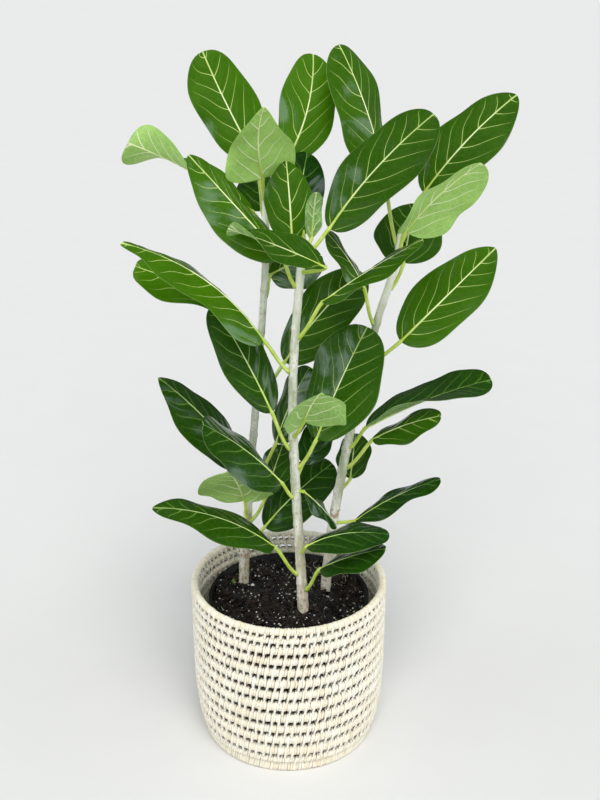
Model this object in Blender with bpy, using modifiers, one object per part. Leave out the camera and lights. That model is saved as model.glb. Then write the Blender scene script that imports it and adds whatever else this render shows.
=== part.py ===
"""A ficus in a black nursery pot, inside a coiled palm-leaf basket.

Metres, +Z up. The origin is the middle of the basket's base, on the floor.
The tables below are in millimetres and degrees. A bearing is measured in plan
from +X towards +Y, and a rise is measured up from the horizontal.
"""

import math

import bmesh
import bpy
import numpy as np

MM = 0.001
GAP = 0.3  # clearance between pieces that touch, in mm

# Basket: outer radii at the floor and at the top, and the height, in mm.
BASKET_BASE_R = 114.6
BASKET_TOP_R = 130.0
BASKET_HEIGHT = 227.0
BASKET_CURVE = 6  # the sides are nearly straight, and round in towards the floor
BASKET_WALL = 7.0
RIM_HEIGHT = 11.0
RIM_WALL = 9.5
FOOT_HEIGHT = 15.3
BASE_THICKNESS = 6.0
BASKET_STEPS = 64
RIM_SECTIONS = 2  # heights at which the outline of each band has a point
WALL_SECTIONS = 10
FOOT_SECTIONS = 3
RIM_CORNER = 3.0
WALL_CORNER = 1.5
FOOT_CORNER = 2.0

# Nursery pot and soil, in mm.
POT_BASE_R = 80.0
POT_TOP_R = 104.5
POT_LIP_R = 107.0
POT_LIP_HEIGHT = 5.0
POT_LIP_CORNER = 1.0
POT_TOP = 201.0
POT_WALL = 1.5
POT_FLOOR = 2.0
SOIL_EDGE = 191.0
SOIL_MIDDLE = 196.0
SOIL_SLOPE = ((45, 1.0), (80, 2.5))  # radius, and how far the soil has dropped there
POT_STEPS = 48
HOLE_STEPS = 24

# Stems: the middle and the radius (x, y, z, radius) at points up each one, in mm.
STEMS = {
    "front": [(19, -36, 155, 7.6), (19, -36, 196, 7.6), (17, -37, 240, 6.6), (14, -38, 300, 6.2),
              (8, -40, 410, 5.9), (6, -40, 490, 5.5), (10, -40, 590, 5.0), (16, -38, 660, 5.0),
              (18, -38, 688, 4.6)],
    "left": [(-62, 36, 155, 7.0), (-62, 36, 196, 7.0), (-53, 34, 325, 5.4), (-41, 32, 468, 4.8),
             (-32, 31, 575, 4.5), (-27, 30, 650, 4.4), (-26, 30, 700, 4.2), (-27, 30, 737, 4.0)],
    "right": [(50, 18, 155, 7.0), (50, 18, 196, 7.0), (55, 16, 267, 6.4), (69, 14, 370, 6.0),
              (87, 12, 475, 5.5), (110, 12, 581, 4.8), (130, 12, 654, 4.4), (136, 12, 690, 4.2)],
}
STEM_POINTS = 18
BEVEL_RESOLUTION = 2  # sides of a round tube: 4 for each step, and 4 more

# Growing tips: the stem that each stands on, its length and its radius, in mm.
TIPS = {
    "front": {"length": 17, "radius": 3.4},
    "right": {"length": 9, "radius": 3.6},
}
TIP_POINTS = 6
TIP_END_R = 0.25
TIP_TAPER = 1.6  # the radius falls as the height to this power

# Leaves. "at" is the height on the stem. "petiole" is its bearing, rise and length. "blade" is
# the bearing, rise and length of the straight line from the blade's base to its tip, and the
# blade's width. "roll" turns the blade about that line, positive lifting its left edge, and
# "twist" is how much the roll grows towards the tip, as u^3. "bow" lifts the middle of the midrib and
# "swing" moves it left, as shares of the length. "fold" lifts both halves of the blade from the
# midrib, or lowers them where it is negative, and "cup" does so towards the margins, as a share
# of the half width. "base" and "point" shape the outline: the larger, the sharper that end.
LEAVES = {
    "front_01": dict(at=229, petiole=(322, 62, 46), blade=(348, 25, 92, 58), roll=2),
    "front_02": dict(at=253, petiole=(213, 57, 62), blade=(186, 23, 162, 66), roll=-8, bow=0.09,
                     twist=-30, base=0.45, point=0.75),
    "front_03": dict(at=287, petiole=(299, 52, 20), blade=(357, 10, 105, 68), roll=2, bow=0.1),
    "front_04": dict(at=374, petiole=(330, 10, 5), blade=(12, -52, 70, 32), roll=20),
    "front_05": dict(at=366, petiole=(221, 57, 31), blade=(204, 44, 138, 82), roll=-26, fold=-15,
                     point=0.4),
    "front_06": dict(at=388, petiole=(70, 24, 26), blade=(50, 36, 64, 42), roll=40),
    "front_07": dict(at=406, petiole=(339, 62, 48), blade=(27, 63, 150, 92), roll=35, bow=0.02),
    "front_08": dict(at=431, petiole=(190, 68, 55), blade=(156, 59, 147, 58), roll=-50, swing=0.03),
    "front_09": dict(at=450, petiole=(292, 48, 42), blade=(287, 44, 84, 84), roll=0, fold=-30),
    "front_10": dict(at=532, petiole=(196, 55, 52), blade=(184, 37, 200, 70), roll=-12, fold=-22,
                     bow=0.1, point=0.8),
    "front_11": dict(at=576, petiole=(342, 59, 55), blade=(355, 34, 136, 60), roll=5, bow=0.02),
    "front_12": dict(at=637, petiole=(197, 68, 40), blade=(186, 49, 156, 72), roll=-38, fold=-25,
                     bow=0.0, point=0.65),
    "front_13": dict(at=650, petiole=(95, 47, 65), blade=(75, 58, 92, 60), roll=30),
    "front_14": dict(at=656, petiole=(308, 20, 43), blade=(184, 23, 118, 52), roll=-45, twist=105,
                     fold=10, cup=0, base=0.7, point=0.4, bow=0.02),
    "front_15": dict(at=668, petiole=(131, 63, 25), blade=(100, 65, 92, 60), roll=-10, point=0.7),
    "front_16": dict(at=674, petiole=(14, 48, 41), blade=(3, 48, 172, 74), roll=62),
    "front_17": dict(at=680, petiole=(40, 55, 16), blade=(290, 74, 58, 22), roll=0),
    "left_01": dict(at=253, petiole=(335, 57, 42), blade=(20, 39, 124, 72), roll=35),
    "left_02": dict(at=292, petiole=(334, 62, 54), blade=(61, 52, 68, 44), roll=10),
    "left_03": dict(at=298, petiole=(264, 65, 40), blade=(260, 44, 118, 90), roll=10),
    "left_04": dict(at=352, petiole=(340, 62, 69), blade=(19, 65, 108, 64), roll=20),
    "left_05": dict(at=360, petiole=(254, 50, 35), blade=(183, 50, 160, 70), roll=-35, point=0.75,
                    fold=-15),
    "left_06": dict(at=474, petiole=(350, 56, 57), blade=(9, 49, 148, 76), roll=50),
    "left_07": dict(at=541, petiole=(209, 54, 62), blade=(185, 28, 126, 54), roll=-30, base=0.7,
                    point=0.3),
    "left_08": dict(at=603, petiole=(48, 74, 28), blade=(43, 6, 87, 66), roll=60),
    "left_09": dict(at=694, petiole=(150, 46, 20), blade=(192, 31, 168, 78), roll=-22, twist=108,
                    fold=18, cup=0, base=0.8, point=0.3),
    "left_10": dict(at=719, petiole=(114, 66, 53), blade=(145, 57, 144, 74), roll=-45, bow=-0.02,
                    point=0.42),
    "left_11": dict(at=727, petiole=(50, 47, 49), blade=(48, 68, 132, 68), roll=35, bow=-0.02,
                    swing=-0.08),
    "left_12": dict(at=726, petiole=(260, 74, 28), blade=(274, 54, 112, 84), roll=12, fold=0,
                    swing=-0.05, base=0.24, point=0.95),
    "left_13": dict(at=700, petiole=(110, 40, 14), blade=(98, 32, 70, 50), roll=0),
    "right_01": dict(at=300, petiole=(350, 12, 24), blade=(355, 31, 126, 50), roll=5, bow=0.05),
    "right_02": dict(at=345, petiole=(60, 10, 28), blade=(74, 62, 60, 46), roll=0),
    "right_03": dict(at=381, petiole=(341, 54, 56), blade=(338, 28, 98, 50), roll=25),
    "right_04": dict(at=411, petiole=(322, 57, 41), blade=(4, 21, 167, 84), roll=-12, twist=40,
                     fold=28, bow=0.035),
    "right_05": dict(at=526, petiole=(344, 41, 49), blade=(5, 46, 159, 76), roll=58, bow=0.0,
                     point=0.66),
    "right_06": dict(at=515, petiole=(89, 10, 30), blade=(139, 16, 80, 52), roll=-30),
    "right_07": dict(at=575, petiole=(201, 75, 49), blade=(186, 56, 84, 52), roll=-22),
    "right_08": dict(at=620, petiole=(21, 63, 35), blade=(75, 42, 88, 86), roll=0),
    "right_09": dict(at=650, petiole=(290, 68, 50), blade=(335, 45, 122, 94), roll=-26, base=0.32,
                     point=0.45, fold=-15),
    "right_10": dict(at=672, petiole=(124, 70, 83), blade=(156, 68, 160, 76), roll=-24, fold=-14),
    "right_11": dict(at=680, petiole=(43, 56, 62), blade=(14, 45, 157, 72), roll=58, point=0.6),
}
LEAF_DEFAULTS = dict(twist=0, bow=0.04, swing=0.0, fold=-8, cup=-0.12, base=0.5, point=0.45)
UNFOLD = 0.7  # share of the fold that is gone at the tip
PETIOLE_R = 2.5
PETIOLE_LEAVES = 0.2  # the curve's first and last handles, as shares of the length
PETIOLE_ARRIVES = 0.17
PETIOLE_CLIMBS = 0.5  # how far its first handle already turns to the petiole's own rise
GRAIN_STEP = 5  # height over which a stem's direction is read, in mm
BLADE_THICKNESS = 1.0
MIDRIB_DEPTH = 1.6
LOOP_POINTS = 8  # points in each section of a petiole or blade
BLADE_STATIONS = (0.04, 0.10, 0.18, 0.28, 0.39, 0.50, 0.61, 0.71, 0.80, 0.88, 0.94, 0.985)
PETIOLE_STATIONS = (0.0, 0.35, 0.7, 1.0)

COLOURS = {
    "palm": ((0.80, 0.72, 0.56, 1), 0.75),
    "plastic": ((0.012, 0.012, 0.013, 1), 0.45),
    "soil": ((0.035, 0.022, 0.015, 1), 0.95),
    "bark": ((0.55, 0.56, 0.44, 1), 0.7),
    "bud": ((0.36, 0.45, 0.08, 1), 0.5),
    "leaf": ((0.03, 0.14, 0.01, 1), 0.35),
}


def clear_scene():
    for obj in list(bpy.data.objects):
        bpy.data.objects.remove(obj, do_unlink=True)


def new_collection(name, is_helper=False):
    made = bpy.data.collections.new(name)
    bpy.context.scene.collection.children.link(made)
    made.hide_render = is_helper
    return made


def new_material(name, finish):
    colour, roughness = COLOURS[finish]
    material = bpy.data.materials.new(name)
    material.use_nodes = True
    shader = material.node_tree.nodes["Principled BSDF"]
    shader.inputs["Base Color"].default_value = colour
    shader.inputs["Roughness"].default_value = roughness
    shader.inputs["Metallic"].default_value = 0.0
    material.diffuse_color = colour
    return material


def add_object(name, data, collection, finish):
    obj = bpy.data.objects.new(name, data)
    collection.objects.link(obj)
    data.materials.append(new_material(name, finish))
    return obj


def turned(name, outline, steps, collection, finish):
    """A ring or cup turned about +Z from a closed outline of (radius, height) in mm.

    The outline runs down its outer side first, so that the faces point out."""
    mesh = bpy.data.meshes.new(name)
    points = [(r * MM, 0, z * MM) for r, z in outline]
    last = len(points) - 1
    on_axis = outline[0][0] == 0 and outline[-1][0] == 0
    edges = [(i, i + 1) for i in range(last)]
    if not on_axis:
        edges.append((last, 0))
    mesh.from_pydata(points, edges, [])
    obj = add_object(name, mesh, collection, finish)
    screw = obj.modifiers.new("turn", "SCREW")
    screw.axis = "Z"
    screw.steps = steps
    screw.render_steps = steps
    screw.use_merge_vertices = True
    screw.merge_threshold = 0.00001
    screw.use_smooth_shade = True
    return obj


def basket_radius(height):
    """Outer radius of the basket at a height, in mm."""
    narrowing = (1 - height / BASKET_HEIGHT) ** BASKET_CURVE
    return BASKET_TOP_R - (BASKET_TOP_R - BASKET_BASE_R) * narrowing


def ring_outline(bottom, top, wall, corner, sections):
    """A band of the basket between two heights, with its corners cut back."""
    heights = np.linspace(top - corner, bottom + corner, sections)
    outer = [(basket_radius(height), height) for height in heights]
    inner = [(radius - wall, height) for radius, height in outer[::-1]]
    top_r, bottom_r = basket_radius(top), basket_radius(bottom)
    return (
        [(top_r - corner, top)] + outer + [(bottom_r - corner, bottom)]
        + [(bottom_r - wall + corner, bottom)] + inner + [(top_r - wall + corner, top)]
    )


def make_basket(collection):
    rim_bottom = BASKET_HEIGHT - RIM_HEIGHT
    rim = ring_outline(rim_bottom, BASKET_HEIGHT, RIM_WALL, RIM_CORNER, RIM_SECTIONS)
    turned("basket_rim", rim, BASKET_STEPS, collection, "palm")
    wall_bottom, wall_top = FOOT_HEIGHT + GAP, rim_bottom - GAP
    wall = ring_outline(wall_bottom, wall_top, BASKET_WALL, WALL_CORNER, WALL_SECTIONS)
    turned("basket_wall", wall, BASKET_STEPS, collection, "palm")
    foot = ring_outline(0, FOOT_HEIGHT, BASKET_WALL, FOOT_CORNER, FOOT_SECTIONS)
    turned("basket_foot", foot, BASKET_STEPS, collection, "palm")
    base_r = basket_radius(FOOT_CORNER) - BASKET_WALL - GAP
    base = [(0, BASE_THICKNESS), (base_r, BASE_THICKNESS), (base_r, 0), (0, 0)]
    turned("basket_base", base, BASKET_STEPS, collection, "palm")


def pot_radius(height):
    """Outer radius of the nursery pot at a height, in mm: a straight cone."""
    bottom = BASE_THICKNESS + GAP
    return POT_BASE_R + (POT_TOP_R - POT_BASE_R) * (height - bottom) / (POT_TOP - bottom)


def make_pot(collection):
    bottom = BASE_THICKNESS + GAP
    lip_bottom = POT_TOP - POT_LIP_HEIGHT
    inner_floor = bottom + POT_FLOOR
    outline = [
        (0, inner_floor), (pot_radius(inner_floor) - POT_WALL, inner_floor),
        (pot_radius(POT_TOP) - POT_WALL, POT_TOP), (POT_LIP_R - POT_LIP_CORNER, POT_TOP),
        (POT_LIP_R, POT_TOP - POT_LIP_CORNER), (POT_LIP_R, lip_bottom),
        (pot_radius(lip_bottom), lip_bottom),
        (POT_BASE_R, bottom), (0, bottom),
    ]
    turned("nursery_pot", outline, POT_STEPS, collection, "plastic")


def make_soil(collection, cutters):
    bottom = BASE_THICKNESS + GAP + POT_FLOOR + GAP
    inset = POT_WALL + GAP
    outline = [(0, SOIL_MIDDLE)] + [(radius, SOIL_MIDDLE - drop) for radius, drop in SOIL_SLOPE]
    outline += [
        (pot_radius(SOIL_EDGE) - inset, SOIL_EDGE), (pot_radius(bottom) - inset, bottom),
        (0, bottom),
    ]
    soil = turned("soil", outline, POT_STEPS, collection, "soil")
    for name, route in STEMS.items():
        x, y, foot, stem_r = route[0]
        radius = stem_r + 2 * GAP
        depth = 2 * (SOIL_MIDDLE - foot + GAP)
        hole = bpy.data.meshes.new(f"hole_{name}")
        shape = bmesh.new()
        bmesh.ops.create_cone(
            shape, cap_ends=True, segments=HOLE_STEPS, radius1=radius * MM,
            radius2=radius * MM, depth=depth * MM,
        )
        shape.to_mesh(hole)
        shape.free()
        cutter = bpy.data.objects.new(f"hole_{name}", hole)
        cutter.location = (x * MM, y * MM, SOIL_MIDDLE * MM)
        cutter.hide_render = True
        cutter.display_type = "WIRE"
        cutters.objects.link(cutter)
        cut = soil.modifiers.new(f"hole_{name}", "BOOLEAN")
        cut.operation = "DIFFERENCE"
        cut.solver = "EXACT"
        cut.object = cutter


def stem_at(route, height):
    """Middle and radius of a stem at a height, by cubic Hermite interpolation of its route."""
    points = np.array(route, float)
    z = points[:, 2]
    slopes = np.gradient(points, z, axis=0)
    i = int(np.clip(np.searchsorted(z, height) - 1, 0, len(z) - 2))
    step = z[i + 1] - z[i]
    t = (height - z[i]) / step
    low = (2 * t**3 - 3 * t**2 + 1) * points[i] + (t**3 - 2 * t**2 + t) * step * slopes[i]
    high = (3 * t**2 - 2 * t**3) * points[i + 1] + (t**3 - t**2) * step * slopes[i + 1]
    place = low + high
    return place[:3], place[3]


def tube(name, points, radii, collection, finish):
    """A round tube of varying radius through the points, in mm, with flat ends."""
    curve = bpy.data.curves.new(name, "CURVE")
    curve.dimensions = "3D"
    curve.bevel_depth = MM
    curve.bevel_resolution = BEVEL_RESOLUTION
    curve.use_fill_caps = True
    spline = curve.splines.new("POLY")
    spline.points.add(len(points) - 1)
    for place, (x, y, z), radius in zip(spline.points, points, radii):
        place.co = (x * MM, y * MM, z * MM, 1)
        place.radius = radius
    spline.use_smooth = True
    return add_object(name, curve, collection, finish)


def stem_points(route):
    """The middles and radii of a stem at even heights."""
    heights = np.linspace(route[0][2], route[-1][2], STEM_POINTS)
    places = [stem_at(route, height) for height in heights]
    return np.array([p for p, _ in places]), [r for _, r in places]


def make_stems(collection):
    for name, route in STEMS.items():
        points, radii = stem_points(route)
        tube(f"stem_{name}", points, radii, collection, "bark")


def direction(bearing, rise):
    b, r = math.radians(bearing), math.radians(rise)
    return np.array([math.cos(r) * math.cos(b), math.cos(r) * math.sin(b), math.sin(r)])


def make_tips(collection):
    """Pointed buds, each standing on the flat end of its stem and in line with it."""
    for name, tip in TIPS.items():
        points = stem_points(STEMS[name])[0]
        ahead = points[-1] - points[-2]
        ahead /= np.linalg.norm(ahead)
        along = np.linspace(0, 1, TIP_POINTS)
        middles = points[-1] + np.outer(GAP + along * tip["length"], ahead)
        radii = tip["radius"] * (1 - along**TIP_TAPER) + TIP_END_R
        tube(f"growing_tip_{name}", middles, radii, collection, "bud")


def blade_frame(leaf):
    """Unit vectors along the blade, to its left and out of its upper side, before any roll."""
    bearing, rise = leaf["blade"][:2]
    along = direction(bearing, rise)
    left = direction(bearing + 90, 0)
    return along, left, np.cross(along, left)


def petiole_points(leaf, route):
    """Points along the petiole, a cubic Bezier curve from the stem's side to the blade's base,
    and the direction in which it leaves the stem, square to it."""
    bearing, rise, length = leaf["petiole"]
    middle, radius = stem_at(route, leaf["at"])
    grain = stem_at(route, leaf["at"] + GRAIN_STEP)[0] - middle
    grain /= np.linalg.norm(grain)
    out = direction(bearing, 0)
    out -= grain * np.dot(out, grain)
    out /= np.linalg.norm(out)
    root = middle + out * (radius + GAP)
    base = root + direction(bearing, rise) * length
    along = blade_frame(leaf)[0]
    first = root + (out + PETIOLE_CLIMBS * direction(bearing, rise)) * length * PETIOLE_LEAVES
    second = base - (along + direction(bearing, rise)) * length * PETIOLE_ARRIVES
    t = np.array(PETIOLE_STATIONS)[:, None]
    curve = (1 - t)**3 * root + 3 * t * (1 - t)**2 * first + 3 * t**2 * (1 - t) * second + t**3 * base
    return curve, out


def half_width(leaf, u):
    """Share of the full half width at u from base to tip: u^a (1 - u)^b, scaled to reach 1."""
    a, b = leaf["base"], leaf["point"]
    widest = a / (a + b)
    return u**a * (1 - u)**b / (widest**a * (1 - widest)**b)


def blade_point(leaf, base, u, v):
    """A point of the blade's middle surface, and the direction out of its upper side there.
    u runs from base to tip, and v from -1 at the right edge to 1 at the left."""
    length, width = leaf["blade"][2:]
    along, left, up = blade_frame(leaf)
    roll = math.radians(leaf["roll"] + leaf["twist"] * u**3)
    side = left * math.cos(roll) + up * math.sin(roll)
    over = up * math.cos(roll) - left * math.sin(roll)
    arch = 4 * u * (1 - u) * length
    midrib = base + along * u * length + (up * leaf["bow"] + left * leaf["swing"]) * arch
    reach = half_width(leaf, u) * width / 2
    fold = math.radians(leaf["fold"] * (1 - UNFOLD * u**2))
    lift = abs(v) * math.sin(fold) + leaf["cup"] * v**2
    return midrib + side * v * reach * math.cos(fold) + over * reach * lift, over


def leaf_loops(leaf, route):
    """Loops of eight points: those round the petiole, then the blade's sections."""
    loops = []
    spine, out = petiole_points(leaf, route)
    bearing = leaf["petiole"][0]
    along, left, up = blade_frame(leaf)
    roll = math.radians(leaf["roll"])
    blade_side = left * math.cos(roll) + up * math.sin(roll)
    stem_side = direction(bearing + 90, 0)
    for i, centre in enumerate(spine):
        share = i / (len(spine) - 1)
        ahead = spine[min(i + 1, len(spine) - 1)] - spine[max(i - 1, 0)]
        ahead /= np.linalg.norm(ahead)
        if i == 0:
            ahead = out
        side = stem_side * (1 - share) + blade_side * share
        side -= ahead * np.dot(side, ahead)
        side /= np.linalg.norm(side)
        over = np.cross(ahead, side)
        turns = np.linspace(0, 2 * math.pi, LOOP_POINTS, endpoint=False)
        loops.append([centre + PETIOLE_R * (side * math.cos(a) + over * math.sin(a)) for a in turns])
    base = spine[-1]
    for u in BLADE_STATIONS:
        top, under = [], []
        for v in (0.5, 0.0, -0.5):
            point, over = blade_point(leaf, base, u, v)
            thick = BLADE_THICKNESS / 2
            rib = MIDRIB_DEPTH * (1 - u) if v == 0 else 0
            top.append(point + over * thick)
            under.append(point - over * (thick + rib))
        left_edge = blade_point(leaf, base, u, 1.0)[0]
        right_edge = blade_point(leaf, base, u, -1.0)[0]
        loops.append([left_edge] + top + [right_edge] + under[::-1])
    return loops


def make_leaf(name, row, collection):
    """One closed loft: petiole and blade together, from the stem's side to the tip."""
    leaf = LEAF_DEFAULTS | row
    loops = leaf_loops(leaf, STEMS[name.split("_")[0]])
    sides = len(loops[0])
    points = [tuple(p * MM) for loop in loops for p in loop]
    faces = []
    for k in range(len(loops) - 1):
        low, high = k * sides, (k + 1) * sides
        for i in range(sides):
            j = (i + 1) % sides
            # Upper and under side are cut along the same diagonal, so that a twisted blade
            # keeps its thickness.
            if i < sides // 2:
                faces += [(low + i, low + j, high + j), (low + i, high + j, high + i)]
            else:
                faces += [(low + i, low + j, high + i), (low + j, high + j, high + i)]
    faces.append(tuple(range(sides))[::-1])
    faces.append(tuple(range(len(points) - sides, len(points))))
    mesh = bpy.data.meshes.new(f"leaf_{name}")
    mesh.from_pydata(points, [], faces)
    mesh.validate()
    shape = bmesh.new()
    shape.from_mesh(mesh)
    bmesh.ops.recalc_face_normals(shape, faces=shape.faces)
    shape.to_mesh(mesh)
    shape.free()
    mesh.shade_smooth()
    add_object(f"leaf_{name}", mesh, collection, "leaf")


def main():
    clear_scene()
    parts = new_collection("potted_ficus")
    cutters = new_collection("cutters", is_helper=True)
    make_basket(parts)
    make_pot(parts)
    make_soil(parts, cutters)
    make_stems(parts)
    make_tips(parts)
    for name, row in LEAVES.items():
        make_leaf(name, row, parts)


main()
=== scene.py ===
import math

import bpy
import numpy as np
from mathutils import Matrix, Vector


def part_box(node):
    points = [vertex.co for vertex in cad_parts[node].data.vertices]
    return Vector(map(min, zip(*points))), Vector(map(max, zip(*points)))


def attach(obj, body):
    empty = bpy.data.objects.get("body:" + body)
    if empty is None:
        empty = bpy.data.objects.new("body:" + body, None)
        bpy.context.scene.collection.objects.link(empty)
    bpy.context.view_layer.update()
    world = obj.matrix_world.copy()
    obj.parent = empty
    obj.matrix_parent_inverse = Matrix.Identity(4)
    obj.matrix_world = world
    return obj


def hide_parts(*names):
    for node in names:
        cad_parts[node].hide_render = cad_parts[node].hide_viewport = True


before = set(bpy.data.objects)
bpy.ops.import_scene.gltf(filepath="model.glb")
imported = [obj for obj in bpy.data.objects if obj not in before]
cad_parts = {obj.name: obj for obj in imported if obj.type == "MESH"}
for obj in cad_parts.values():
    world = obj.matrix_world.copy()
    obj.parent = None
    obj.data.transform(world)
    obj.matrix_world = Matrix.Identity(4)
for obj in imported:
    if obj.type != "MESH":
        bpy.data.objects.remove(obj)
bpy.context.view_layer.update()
rng = np.random.default_rng(11)
mm = 0.001


def circle(steps):
    return np.linspace(0, 2 * math.pi, steps, endpoint=False)


def stacked(*values):
    return np.stack(np.broadcast_arrays(*values), -1)


def polar(radius, angle, height):
    return stacked(radius * np.cos(angle), radius * np.sin(angle), height)


def hump(values, width):
    return np.exp(-((values / width) ** 2))


def unit(vectors):
    return vectors / np.linalg.norm(vectors, axis=-1, keepdims=True)


def ringQuads(rings, sides, closed=False):
    # Quads between rings of points.
    i = np.arange(rings if closed else rings - 1)[:, None]
    j = np.arange(sides)
    low, high, right = i * sides, (i + 1) % rings * sides, (j + 1) % sides
    return stacked(low + j, low + right, high + right, high + j).reshape(-1, 4)


def capFan(ring, tip):
    # Triangles from a ring of point numbers to one more point.
    return stacked(ring, np.roll(ring, -1), tip)


def closedTube(rings, sides):
    # Rings of points closed at both ends by a point, the two stored after the rings.
    n = rings * sides
    return [ringQuads(rings, sides), capFan(np.arange(sides)[::-1], n),
            capFan(n - sides + np.arange(sides), n + 1)]


def repeated(groups, count, size):
    # The same faces on each of count sets of size points.
    starts = (np.arange(count) * size)[:, None, None]
    return [(starts + group).reshape(-1, group.shape[1]) for group in groups]


def flipped(groups):
    return [group[:, ::-1] for group in groups]


def spokes(across, over, sides):
    # Directions round each point of a line.
    a = circle(sides)[:, None]
    return across[..., None, :] * np.cos(a) + over[..., None, :] * np.sin(a)


def tubes(paths, radii, sides=5):
    # Closed round tubes along many paths of equal length.
    ahead = unit(np.gradient(paths, axis=1))
    lead = np.where(np.abs(ahead[:, :1, 2:]) > 0.9, [[[1.0, 0, 0]]], [[[0, 0, 1.0]]])
    across = unit(np.cross(ahead, lead))
    rings = paths[:, :, None] + spokes(across, np.cross(ahead, across), sides) * radii[:, :, None, None]
    count, stations = paths.shape[:2]
    points = np.concatenate([rings.reshape(count, -1, 3), paths[:, :1], paths[:, -1:]], 1)
    return points.reshape(-1, 3), repeated(closedTube(stations, sides), count, points.shape[1])


def smoothNoise(points, size, seed, octaves=3):
    # Sum of sine waves in random directions: about -1 to 1, smooth over the given size.
    dice, waves, total = np.random.default_rng(seed), 6, 0.0
    for octave in range(octaves):
        directions = unit(dice.normal(size=(waves, 3))) * 2**octave * 2 * math.pi / size
        sines = np.sin(points @ directions.T + dice.uniform(0, 6.28, waves))
        total = total + sines.sum(-1) / 3.2 / 1.9**octave
    return total


def addObject(name, data):
    made = bpy.data.objects.new(name, data)
    bpy.context.scene.collection.objects.link(made)
    return made


def addMesh(name, points, faceGroups, materials, slots=None, uv=None, values=None):
    # slots holds the material number of each group of quads or triangles.
    mesh = bpy.data.meshes.new(name)
    faces = [face for group in faceGroups for face in group.tolist()]
    mesh.from_pydata(points, [], faces, shade_flat=False)
    numbers = np.repeat(slots or [0] * len(faceGroups), [len(group) for group in faceGroups])
    mesh.polygons.foreach_set("material_index", numbers.astype(np.int32))
    loops = np.concatenate([group.reshape(-1) for group in faceGroups])
    for label, pair in (uv or {}).items():
        layer = mesh.uv_layers.new(name=label)
        layer.data.foreach_set("uv", pair[loops].astype(np.float32).reshape(-1))
    for label, value in (values or {}).items():
        kind, field = ("FLOAT", "value") if value.ndim == 1 else ("FLOAT_VECTOR", "vector")
        layer = mesh.attributes.new(label, kind, "POINT")
        layer.data.foreach_set(field, value.astype(np.float32).reshape(-1))
    mesh.validate()
    for material in materials:
        mesh.materials.append(material)
    return addObject(name, mesh)


def addPiece(name, points, faceGroups, materials, slot, nodes=(), **more):
    piece = addMesh(name, points, faceGroups, materials, **more)
    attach(piece, "root")
    if nodes:
        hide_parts(*nodes)


# The node helpers add to the tree that startGroup or startMaterial began last.
building = {"tree": None}


def feed(socket, value):
    if isinstance(value, bpy.types.NodeSocket):
        building["tree"].links.new(value, socket)
    elif socket.type == "RGBA":
        socket.default_value = (*value, 1)
    else:
        socket.default_value = value


def addNode(kind, inputs=(), **settings):
    # inputs are plain values or sockets to link, by name or number.
    node = building["tree"].nodes.new(kind)
    for name, value in settings.items():
        setattr(node, name, value)
    for key, value in dict(inputs).items():
        feed(node.inputs[key], value)
    return node


def calc(operation, *values):
    return addNode("ShaderNodeMath", enumerate(values), operation=operation).outputs[0]


def times(first, second):
    return calc("MULTIPLY", first, second)


def plus(first, second):
    return calc("ADD", first, second)


def fade(value, start, end):
    # 0 at start and 1 at end, which may be the lower one.
    inputs = {"Value": value, "From Min": start, "From Max": end}
    return addNode("ShaderNodeMapRange", inputs, interpolation_type="SMOOTHSTEP").outputs[0]


def tint(share, first, second):
    return addNode("ShaderNodeMix", {0: share, 6: first, 7: second}, data_type="RGBA").outputs[2]


def layered(colour, *layers):
    # Each layer is (where it lies, its strength there, its colour).
    for share, strength, second in layers:
        colour = tint(times(share, strength), colour, second)
    return colour


def noise(vector, scale, detail=3.0, roughness=0.55):
    inputs = {"Vector": vector, "Scale": scale, "Detail": detail, "Roughness": roughness}
    return addNode("ShaderNodeTexNoise", inputs).outputs[0]


def stretched(vector, scale):
    return addNode("ShaderNodeMapping", {"Vector": vector, "Scale": scale}).outputs[0]


def objectPlace():
    return addNode("ShaderNodeTexCoord").outputs["Object"]


def attribute(name, output="Fac"):
    return addNode("ShaderNodeAttribute", attribute_name=name).outputs[output]


def uvMap(name):
    return addNode("ShaderNodeUVMap", uv_map=name).outputs[0]


def split(vector):
    return addNode("ShaderNodeSeparateXYZ", {0: vector}).outputs


def startGroup(name, given, kind):
    # A node group with one input, whose inner socket is returned.
    building["tree"] = bpy.data.node_groups.new(name, "ShaderNodeTree")
    building["tree"].interface.new_socket(given, in_out="INPUT", socket_type=kind)
    return addNode("NodeGroupInput").outputs[0]


def endGroup(**outputs):
    for label in outputs:
        building["tree"].interface.new_socket(label, in_out="OUTPUT", socket_type="NodeSocketFloat")
    addNode("NodeGroupOutput", outputs)
    return building["tree"]


def useGroup(group, **inputs):
    return addNode("ShaderNodeGroup", inputs, node_tree=group).outputs


def startMaterial(name):
    material = bpy.data.materials.new(name)
    material.use_nodes = True
    building["tree"] = material.node_tree
    return material


def shade(material, colour, roughness, specular, height=None, strength=0.0, distance=0.0):
    # Fills the Principled shader, with a bump where a height is given.
    inputs = {"Base Color": colour, "Roughness": roughness, "Specular IOR Level": specular}
    if height:
        bump = {"Height": height, "Strength": strength, "Distance": distance}
        inputs["Normal"] = addNode("ShaderNodeBump", bump).outputs[0]
    shader = material.node_tree.nodes["Principled BSDF"]
    for label, value in inputs.items():
        feed(shader.inputs[label], value)
    return material


def fibreGroup():
    # Streaks along a strand, and slow patches from place to place.
    strand = startGroup("fibres", "Strand", "NodeSocketVector")
    streak = noise(stretched(strand, (60, 2600, 60)), 1.0, detail=4, roughness=0.6)
    return endGroup(Streak=streak, Patch=noise(objectPlace(), 22.0))


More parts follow.
